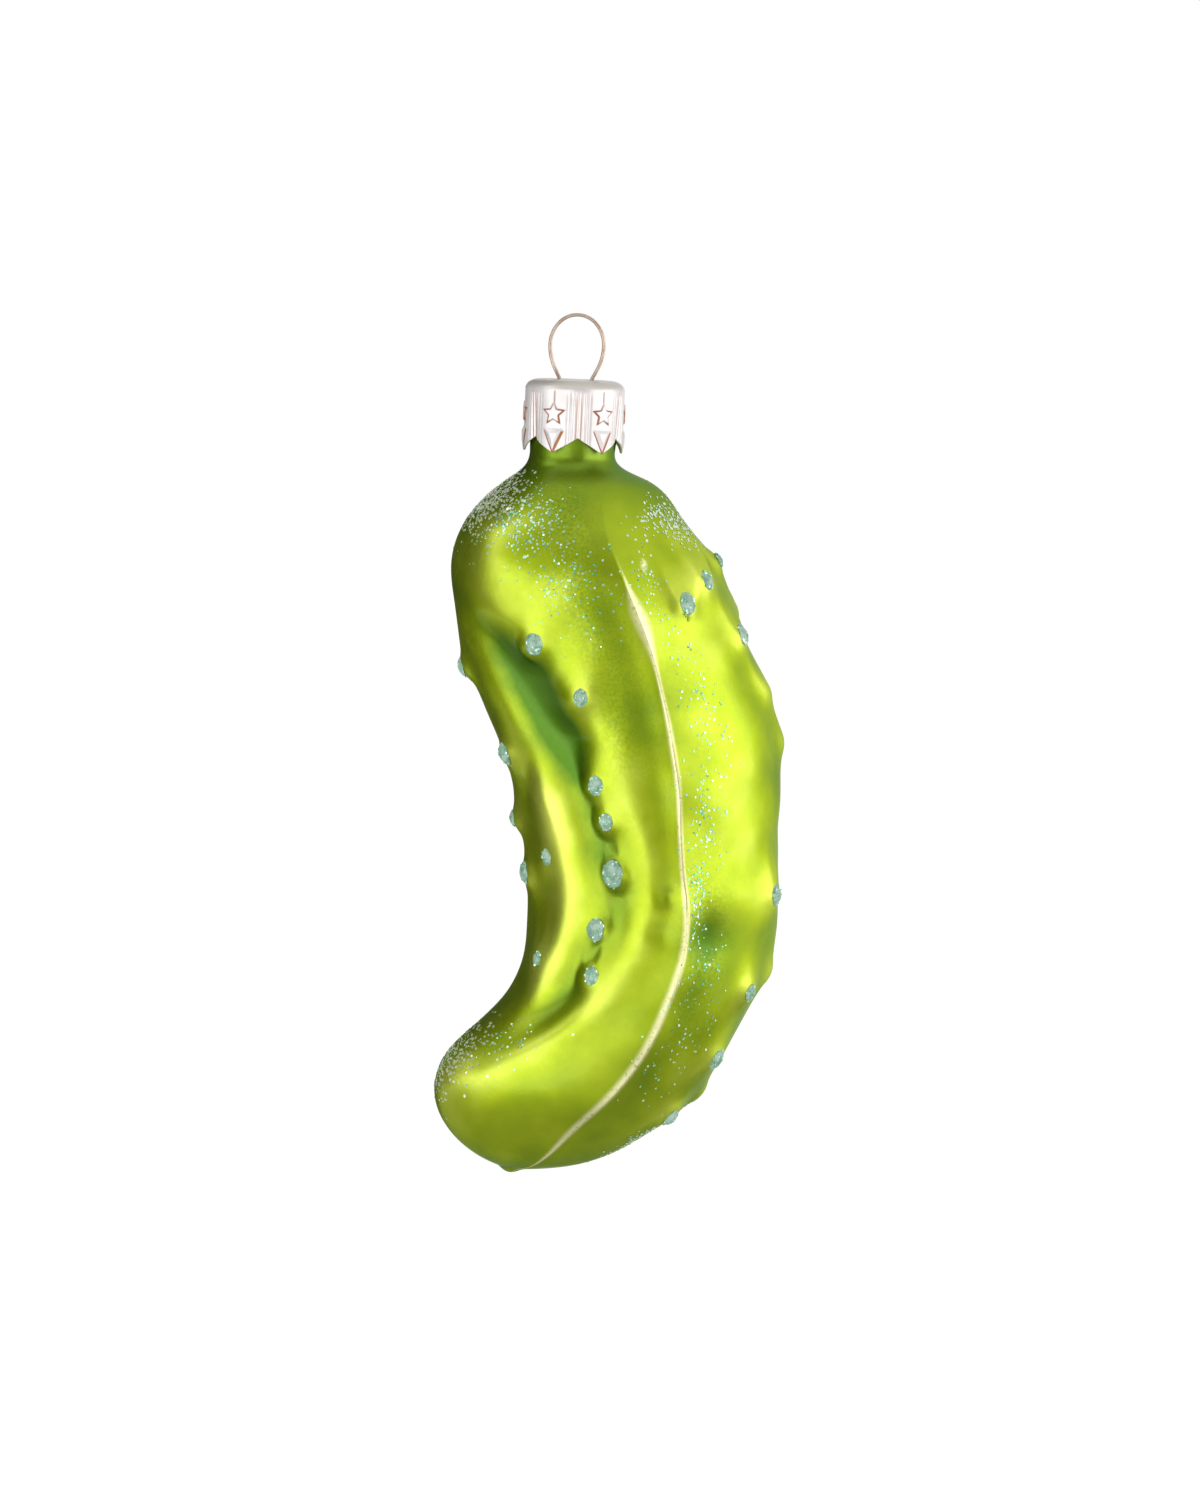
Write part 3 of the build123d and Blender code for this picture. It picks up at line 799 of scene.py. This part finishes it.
def skirt_surface(turn, share):
    """Points of the skirt, and how far each is from the stars, the darts and the middle of a tooth.

    The radius is a circle drawn in at the pleats, less toward the top, with small flutes beside
    them, and it is raised at the stars and darts. Share goes from zero at the shoulder to one at
    the teeth.
    """
    from_tooth = (turn - TOOTH_ANGLE + tooth_pitch / 2) % tooth_pitch - tooth_pitch / 2
    from_pleat = tooth_pitch / 2 - np.abs(from_tooth)
    notch = 1 - np.sin(np.radians(from_pleat)) / sin(radians(tooth_pitch / 2))
    top = cap_top - CAP_SHOULDER
    z = top + share * (cap_bottom + TOOTH_DEPTH * notch - top)
    pulled = PLEAT_DEPTH * np.exp(-((from_pleat / PLEAT_SPREAD) ** 2)) * share
    x = np.radians(from_tooth) * CAP_RADIUS
    y = z - cap_top
    flutes = (1 + np.cos(from_pleat * 1.4)) * np.exp(-((from_pleat / 13) ** 4))
    star = star_edge(x, y + STAR_FALL, STAR_REACH, STAR_WAIST)
    dart = dart_edge(x, y - (cap_bottom - cap_top) - DART_HEIGHT, DART_WIDTH, DART_HEIGHT)
    raised = STAR_RISE * (1 - step_up(star, -0.10, 0.06))
    raised += DART_RISE * np.clip(-dart / 0.5, 0, 1)
    fold = np.exp(-((x / 0.1) ** 2)) * step_up(-y, 1.0, 1.4) * (1 - step_up(-y, 2.5, 2.7))
    reach = CAP_RADIUS - pulled - 0.05 * flutes * step_up(share, 0.0, 0.12)
    reach += np.minimum(raised, 0.35) - 0.08 * fold
    angle = np.radians(turn)
    points = np.stack([reach * np.sin(angle), -reach * np.cos(angle), z], -1)
    return points, {"star": star, "dart": dart, "across": x + 0 * z, "pleat": from_pleat + 0 * z}


cap_turn = (np.arange(cap_columns) * 360 / cap_columns)[None, :]
cap_share = np.linspace(0, 1, SKIRT_ROWS)[:, None]
skirt, skirt_marks = skirt_surface(cap_turn, cap_share)
shoulder_turn = np.linspace(0, pi / 2, 11)[:-1, None]
shoulder_reach = CAP_RADIUS - CAP_ROUND + CAP_ROUND * np.sin(shoulder_turn)
shoulder_angle = np.radians(cap_turn)
shoulder = np.stack([
    shoulder_reach * np.sin(shoulder_angle),
    -shoulder_reach * np.cos(shoulder_angle),
    cap_top - CAP_SHOULDER + CAP_SHOULDER * np.cos(shoulder_turn) + 0 * shoulder_angle,
], -1)

# Each half of the crown runs from a slot's outline out to the half disc round it.
half_turns = np.arange(cap_columns // 2 + 1) * 360 / cap_columns
rim = CAP_RADIUS - CAP_ROUND
arc = np.stack([rim * np.sin(np.radians(half_turns)), -rim * np.cos(np.radians(half_turns))], -1)
chord_y = np.linspace(rim, -rim, CHORD_POINTS + 2)[1:-1]
chord = np.stack([np.zeros(CHORD_POINTS), chord_y], -1)
half_disc = np.concatenate([arc, chord])
slot_middle = np.array([(SLOT_INNER_END + SLOT_OUTER_END) / 2, 0])
slot_straight = (SLOT_OUTER_END - SLOT_INNER_END - SLOT_WIDTH) / 2
heading = half_disc - slot_middle
heading = heading / np.linalg.norm(heading, axis=1, keepdims=True)
flank = SLOT_WIDTH / 2 / np.maximum(np.abs(heading[:, 1]), 1e-9)
lean = slot_straight * np.abs(heading[:, 0])
end = lean + np.sqrt(np.clip(lean ** 2 - slot_straight ** 2 + (SLOT_WIDTH / 2) ** 2, 0, None))
slot_reach = np.where(flank * np.abs(heading[:, 0]) < slot_straight, flank, end)
slot_edge = slot_middle + heading * slot_reach[:, None]
outward_share = np.linspace(0, 1, CROWN_ROWS)[:, None, None]
right_half = slot_edge + (half_disc - slot_edge) * outward_share
crown_level = np.full(right_half.shape[:2] + (1,), cap_top)
right_crown = np.concatenate([right_half, crown_level], -1)
left_crown = right_crown * (-1, 1, 1)
skirt_mesh = ring_mesh("cap_skirt", np.concatenate([shoulder, skirt]))
right_mesh = ring_mesh("cap_crown_right", right_crown)
left_mesh = ring_mesh("cap_crown_left", left_crown)
for mark, distance in skirt_marks.items():
    unmarked = np.full(shoulder.shape[:2], OFF_THE_MARKS)
    give_attribute(skirt_mesh, mark, np.concatenate([unmarked, distance]))
    for part in (right_mesh, left_mesh):
        give_attribute(part, mark, np.full(len(part.vertices), OFF_THE_MARKS))
joined = bmesh.new()
for part in (skirt_mesh, right_mesh, left_mesh):
    joined.from_mesh(part)
    bpy.data.meshes.remove(part)
bmesh.ops.remove_doubles(joined, verts=joined.verts, dist=0.000002)
bmesh.ops.recalc_face_normals(joined, faces=joined.faces)
cap_mesh = bpy.data.meshes.new("pressed_cap")
joined.to_mesh(cap_mesh)
joined.free()
cap_mesh.shade_smooth()

cap_metal, tree, shader = new_material("Pressed silver sheet")
clouds, speckle = add_grain(tree, 2.5, 0.3)
sheet = tint(tree, between(tree, clouds, 0.35, 0.65), (0.84, 0.78, 0.77, 1), (0.93, 0.89, 0.88, 1))
on_cap = put(tree, "ShaderNodeTexCoord").outputs["Object"]
level = put(tree, "ShaderNodeSeparateXYZ", {0: on_cap}).outputs["Z"]
below = between(tree, level, cap_top * MM, cap_bottom * MM, 0.0, cap_top - cap_bottom)
# The sheet turns darker and browner toward the top of the cap.
dusty = between(tree, below, 0.5, 1.2, 0.75, 0.0)
sheet = tint(tree, dusty, sheet, (0.60, 0.56, 0.48, 1))

# Painted shade and reflection in the creases: orange-brown lines round the stars, down the darts,
# along the folds and the pleats.
across = attribute(tree, "across")
aside = reckon(tree, "ABSOLUTE", across, 0.0)
off_star = reckon(tree, "ABSOLUTE", attribute(tree, "star"), 0.0)
star_line = between(tree, off_star, 0.05, 0.13, 1, 0)
star_mark = reckon(tree, "MULTIPLY", star_line, between(tree, aside, 0.2, 0.6, 0.3, 1))
dart_width = between(tree, across, -0.2, 0.2, 0.1, 0.22)
off_dart = reckon(tree, "ABSOLUTE", attribute(tree, "dart"), 0.0)
dart_mark = between(tree, reckon(tree, "DIVIDE", off_dart, dart_width), 0.5, 1.0, 1, 0)
dart_mark = reckon(tree, "MULTIPLY", dart_mark, between(tree, below, 5.55, 5.75))
fold_line = between(tree, aside, 0.04, 0.1, 0.8, 0)
fold_mark = reckon(tree, "MULTIPLY", fold_line, between(tree, below, 0.9, 1.3))
fold_mark = reckon(tree, "MULTIPLY", fold_mark, between(tree, below, 2.4, 2.6, 1, 0))
off_pleat = reckon(tree, "SUBTRACT", attribute(tree, "pleat"), 3.0)
pleat_line = between(tree, reckon(tree, "ABSOLUTE", off_pleat, 0.0), 0.4, 1.5, 0.6, 0)
pleat_mark = reckon(tree, "MULTIPLY", pleat_line, between(tree, below, 1.0, 2.5))
edge_marks = reckon(tree, "MAXIMUM", star_mark, dart_mark)
marked = reckon(tree, "MAXIMUM", edge_marks, reckon(tree, "MAXIMUM", fold_mark, pleat_mark))
marked = reckon(tree, "MULTIPLY", marked, between(tree, clouds, 0.25, 0.5, 0.65, 1.0))
sheet = tint(tree, marked, sheet, (0.42, 0.16, 0.07, 1))
cap_gloss = between(tree, speckle, 0.3, 0.7, 0.30, 0.38)
set_shader(tree, shader, Base_Color=sheet, Roughness=cap_gloss, Metallic=0.3,
           Specular_IOR_Level=0.3)
cap = place("pressed_cap", cap_mesh, "cap", "cap_sheet", cap_metal)
thick = cap.modifiers.new("sheet", "SOLIDIFY")
thick.thickness = CAP_SHEET * MM
thick.offset = -1.0
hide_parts("cap")

# Wire hanger
# Spring wire bent into an eye, with two legs that splay inside the neck and hold the cap down.
# It is plain drawn steel, warm with age.

wire_steel, tree, shader = new_material("Drawn spring wire")
clouds, speckle = add_grain(tree, 1.5, 0.12)
aged = between(tree, clouds, 0.35, 0.65)
wire_tint = tint(tree, aged, (0.44, 0.31, 0.23, 1), (0.60, 0.48, 0.39, 1))
wire_gloss = between(tree, speckle, 0.3, 0.7, 0.34, 0.44)
set_shader(tree, shader, Base_Color=wire_tint, Roughness=wire_gloss, Metallic=0.8)

# Half of the wire, from the top of the eye to a foot: the length and the turn of each bend or run
WIRE_RADIUS = 0.2
WIRE_RUNS = np.array([
    (2.161, -45), (2.881, -45), (2.827, -27), (2.330, 0), (0.586, 42), (9.461, 0), (1.222, -70),
])
run_ends = np.concatenate([[0], np.cumsum(WIRE_RUNS[:, 0])])
run_headings = np.radians(np.concatenate([[0], np.cumsum(WIRE_RUNS[:, 1])]))
along_wire = np.linspace(0, run_ends[-1], 360)
heading = np.interp(along_wire, run_ends, run_headings)
between_points = (heading[:-1] + heading[1:]) / 2
eye_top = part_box("wire_hanger")[1].z / MM - WIRE_RADIUS
wire_x = np.concatenate([[0], np.cumsum(np.cos(between_points)) * along_wire[1]])
wire_z = eye_top + np.concatenate([[0], np.cumsum(np.sin(between_points)) * along_wire[1]])
wire_x = np.concatenate([-wire_x[::-1], wire_x[1:]])[:, None]
wire_z = np.concatenate([wire_z[::-1], wire_z[1:]])[:, None]
heading = np.concatenate([-heading[::-1], heading[1:]])[:, None]
round_wire = np.linspace(0, 2 * pi, 16, endpoint=False)[None, :]
wire_rings = np.stack([
    wire_x - WIRE_RADIUS * np.cos(round_wire) * np.sin(heading),
    WIRE_RADIUS * np.sin(round_wire) + 0 * heading,
    wire_z + WIRE_RADIUS * np.cos(round_wire) * np.cos(heading),
], -1)
wire_mesh = ring_mesh("spring_wire", wire_rings, wire_rings[:1].mean(1), wire_rings[-1:].mean(1))
wire = place("spring_wire_hanger", wire_mesh, "hanger", "hanger_wire", wire_steel)
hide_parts("wire_hanger")

# Floor, light and camera
# A pale floor well below the hanging ornament, soft boxes at its left, upper left and right, and a
# white surround. Three cards out of shot, one of them dark grey, show only in the gloss.

FLOOR_DROP = 0.3
floor_z = cad_low.z - FLOOR_DROP
floor_mesh = bpy.data.meshes.new("floor")
floor_corners = [(-9, -9, floor_z), (9, -9, floor_z), (9, 9, floor_z), (-9, 9, floor_z)]
floor_mesh.from_pydata(floor_corners, [], [(0, 1, 2, 3)])
floor = bpy.data.objects.new("floor", floor_mesh)
bpy.context.scene.collection.objects.link(floor)


def seen_by_ray(tree):
    """One for a ray of the camera, or one mirrored or bent on its way, and zero for other light."""
    ray = put(tree, "ShaderNodeLightPath").outputs
    seen = reckon(tree, "MAXIMUM", ray["Is Camera Ray"], ray["Is Glossy Ray"])
    return reckon(tree, "MAXIMUM", seen, ray["Is Transmission Ray"])


paper, tree, shader = new_material("Pale floor")
floor_glow = reckon(tree, "MULTIPLY", seen_by_ray(tree), 0.75)
set_shader(tree, shader, Base_Color=(0.85, 0.85, 0.84, 1), Roughness=0.9, Specular_IOR_Level=0.0,
           Emission_Color=(1, 1, 1, 1), Emission_Strength=floor_glow)
floor_mesh.materials.append(paper)

world = bpy.data.worlds.new("Studio")
bpy.context.scene.world = world
world.use_nodes = True
tree = world.node_tree
background = tree.nodes["Background"]
background.inputs["Color"].default_value = (1, 1, 1, 1)
tree.links.new(between(tree, seen_by_ray(tree), 0, 1, 0.35, 1.0), background.inputs["Strength"])

LAMP_DISTANCE = 0.8
middle = (cad_low + cad_high) / 2


def soft_box(name, azimuth, elevation, width, height, watts):
    """Rectangular lamp on a ball round the ornament, facing it. Azimuth 0 is the camera's side."""
    lamp = bpy.data.lights.new(name, "AREA")
    lamp.shape = "RECTANGLE"
    lamp.size = width
    lamp.size_y = height
    lamp.energy = watts
    stand = bpy.data.objects.new(name, lamp)
    a, e = radians(azimuth), radians(elevation)
    back = Vector((sin(a) * cos(e), -cos(a) * cos(e), sin(e)))
    facing = back.to_track_quat("Z", "Y").to_matrix().to_4x4()
    stand.matrix_world = Matrix.Translation(middle + back * LAMP_DISTANCE) @ facing
    bpy.context.scene.collection.objects.link(stand)


soft_box("left_box", azimuth=-35, elevation=-3, width=0.86, height=0.72, watts=3.4)
soft_box("left_top", azimuth=-72, elevation=40, width=0.4, height=0.3, watts=0.5)
soft_box("right_box", azimuth=72, elevation=9, width=1.05, height=0.55, watts=3.0)

CARD_COLUMNS = 19
CARD_ROWS = 13


def studio_card(name, material, left, right, low, high, reach, flatness=1.0):
    """Curved card out of shot: part of a ball, or a flattened one, between azimuths and heights."""
    across = np.radians(np.linspace(left, right, CARD_COLUMNS))
    upward = np.radians(np.linspace(low, high, CARD_ROWS))
    card_turn, card_rise = np.meshgrid(across, upward)
    points = np.stack([
        middle.x + reach * np.sin(card_turn) * np.cos(card_rise),
        middle.y - reach * np.cos(card_turn) * np.cos(card_rise),
        middle.z + reach * np.sin(card_rise) * flatness,
    ], -1).reshape(-1, 3)
    at = np.arange(CARD_ROWS * CARD_COLUMNS).reshape(CARD_ROWS, CARD_COLUMNS)
    quads = np.stack([at[:-1, :-1], at[1:, :-1], at[1:, 1:], at[:-1, 1:]], -1).reshape(-1, 4)
    mesh = bpy.data.meshes.new(name)
    mesh.from_pydata(points.tolist(), [], quads.tolist())
    mesh.materials.append(material)
    card = bpy.data.objects.new(name, mesh)
    bpy.context.scene.collection.objects.link(card)
    card.visible_camera = False
    card.visible_diffuse = False
    card.visible_shadow = False


grey_card, tree, shader = new_material("Grey card")
set_shader(tree, shader, Base_Color=(0.16, 0.16, 0.16, 1), Roughness=0.9)
pale_card, tree, shader = new_material("Pale card")
set_shader(tree, shader, Base_Color=(0.75, 0.75, 0.75, 1), Roughness=0.9)
studio_card("front_card", pale_card, -55, 36, -10, 48, reach=1.3)
studio_card("left_back_card", grey_card, -170, -76, -34, 60, reach=0.9)
studio_card("floor_card", pale_card, -180, 180, -88, -35, reach=0.4, flatness=0.75)

# The photograph's frame is 135 mm wide at the ornament, seen from 4 degrees above with a long lens.
FRAME_HEIGHT = 0.16875
LENS_DISTANCE = 0.95
VIEW_ELEVATION = radians(4)
VIEW_ROLL = radians(2.4)
AIM_RIGHT = 0.00449
AIM_UP = -0.04541
camera_data = bpy.data.cameras.new("camera")
camera_data.sensor_width = 36
camera_data.lens = 36 * LENS_DISTANCE / FRAME_HEIGHT
camera = bpy.data.objects.new("camera", camera_data)
bpy.context.scene.collection.objects.link(camera)
image_up = Vector((0, sin(VIEW_ELEVATION), cos(VIEW_ELEVATION)))
toward = Vector((0, -cos(VIEW_ELEVATION), sin(VIEW_ELEVATION)))
aim = Vector((AIM_RIGHT, 0, 0)) + image_up * AIM_UP
upright = toward.to_track_quat("Z", "Y").to_matrix().to_4x4()
rolled = upright @ Matrix.Rotation(VIEW_ROLL, 4, "Z")
camera.matrix_world = Matrix.Translation(aim + toward * LENS_DISTANCE) @ rolled
bpy.context.scene.camera = camera
bpy.context.scene.view_settings.view_transform = "Standard"
